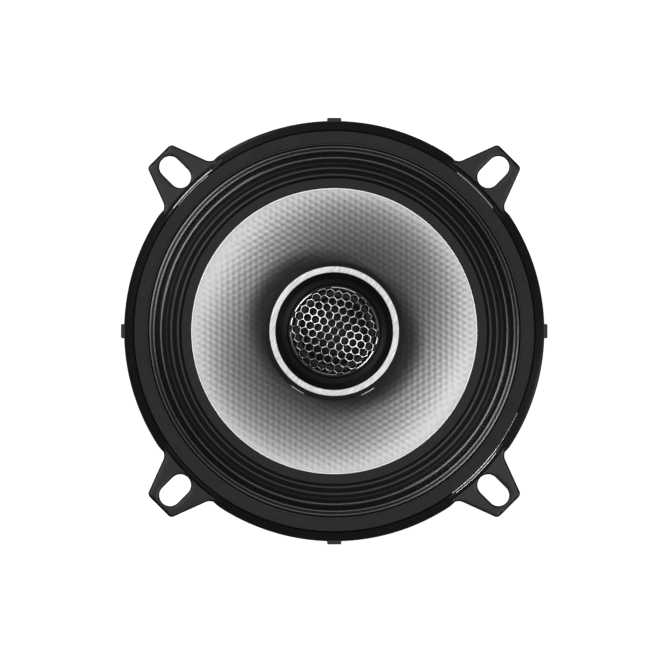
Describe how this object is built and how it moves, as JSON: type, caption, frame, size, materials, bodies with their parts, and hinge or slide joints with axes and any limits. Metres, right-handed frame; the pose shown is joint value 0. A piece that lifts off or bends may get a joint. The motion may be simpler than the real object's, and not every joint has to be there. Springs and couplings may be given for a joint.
{
  "type": "coaxial car speaker",
  "caption": "Round two-way coaxial loudspeaker: a cone driver in a pressed basket with slotted mounting tabs, and a dome tweeter held over it on a central post.",
  "frame": {"origin": "on the speaker's axis, in the mounting plane behind the four tabs", "axes": "+Z out of the front of the speaker, where the sound leaves; +X and +Y through the middles of two neighbouring tabs"},
  "size_m": [0.1528, 0.1528, 0.0582],
  "materials": {
    "basket": "black powder coat, satin",
    "front_gasket": "matt moulded foam rubber",
    "rear_gasket": "closed-cell foam",
    "surround": "satin butyl rubber",
    "spider": "resin-stiffened woven cotton",
    "top_plate": "zinc-plated steel",
    "ring_magnet": "ground ferrite",
    "yoke": "zinc-plated steel",
    "basket_rivets": "staked steel",
    "tweeter_post": "black nylon",
    "post_stud": "plated steel",
    "post_washer": "plated steel",
    "post_nut": "plated steel",
    "tweeter_housing": "black ABS, fine texture",
    "tweeter_trim_ring": "spun aluminium",
    "tweeter_faceplate": "black ABS",
    "tweeter_grille": "bright black-nickel mesh",
    "tweeter_yoke": "plated steel",
    "tweeter_magnet": "nickel-plated neodymium",
    "tweeter_pole_plate": "plated steel",
    "tweeter_felt": "felt",
    "tweeter_suspension": "doped silk",
    "terminal_board": "phenolic paper board",
    "positive_terminal": "gold-plated brass",
    "negative_terminal": "tin-plated brass",
    "terminal_rivets": "plated steel",
    "crossover_capacitor": "PVC sleeve",
    "capacitor_leads": "tinned copper",
    "tweeter_leads": "PVC insulation",
    "tinsel_leads": "tinsel braid",
    "cone": "silver woven-pattern composite",
    "voice_coil_former": "amber polyimide film",
    "voice_coil_winding": "enamelled copper wire",
    "lead_pads": "tinned brass",
    "tweeter_dome": "doped silk",
    "tweeter_coil_former": "amber polyimide film",
    "tweeter_coil_winding": "enamelled copper wire"
  },
  "bodies": {
    "chassis": {"basket": "basket", "front_gasket": "front_gasket", "rear_gasket": "rear_gasket", "surround": "surround", "spider": "spider", "top_plate": "top_plate", "ring_magnet": "ring_magnet", "yoke": "yoke", "basket_rivets": "basket_rivets", "tweeter_post": "tweeter_post", "post_stud": "post_stud", "post_washer": "post_washer", "post_nut": "post_nut", "tweeter_housing": "tweeter_housing", "tweeter_trim_ring": "tweeter_trim_ring", "tweeter_faceplate": "tweeter_faceplate", "tweeter_grille": "tweeter_grille", "tweeter_yoke": "tweeter_yoke", "tweeter_magnet": "tweeter_magnet", "tweeter_pole_plate": "tweeter_pole_plate", "tweeter_felt": "tweeter_felt", "tweeter_suspension": "tweeter_suspension", "terminal_board": "terminal_board", "positive_terminal": "positive_terminal", "negative_terminal": "negative_terminal", "terminal_rivets": "terminal_rivets", "crossover_capacitor": "crossover_capacitor", "capacitor_leads": "capacitor_leads", "tweeter_leads": "tweeter_leads", "tinsel_leads": "tinsel_leads"},
    "cone_assembly": {"cone": "cone", "voice_coil_former": "voice_coil_former", "voice_coil_winding": "voice_coil_winding", "lead_pads": "lead_pads"},
    "tweeter_diaphragm": {"tweeter_dome": "tweeter_dome", "tweeter_coil_former": "tweeter_coil_former", "tweeter_coil_winding": "tweeter_coil_winding"}
  },
  "joints": [
    {"name": "cone_travel", "type": "slide", "parent": "chassis", "child": "cone_assembly", "axis": [0, 0, 1], "range_m": [-0.0035, 0.0035], "stiffness_N_per_m": 1700, "deforming": ["surround", "spider", "tinsel_leads"]},
    {"name": "tweeter_travel", "type": "slide", "parent": "chassis", "child": "tweeter_diaphragm", "axis": [0, 0, 1], "range_m": [-0.0003, 0.0003], "stiffness_N_per_m": 60, "deforming": ["tweeter_suspension"]}
  ]
}
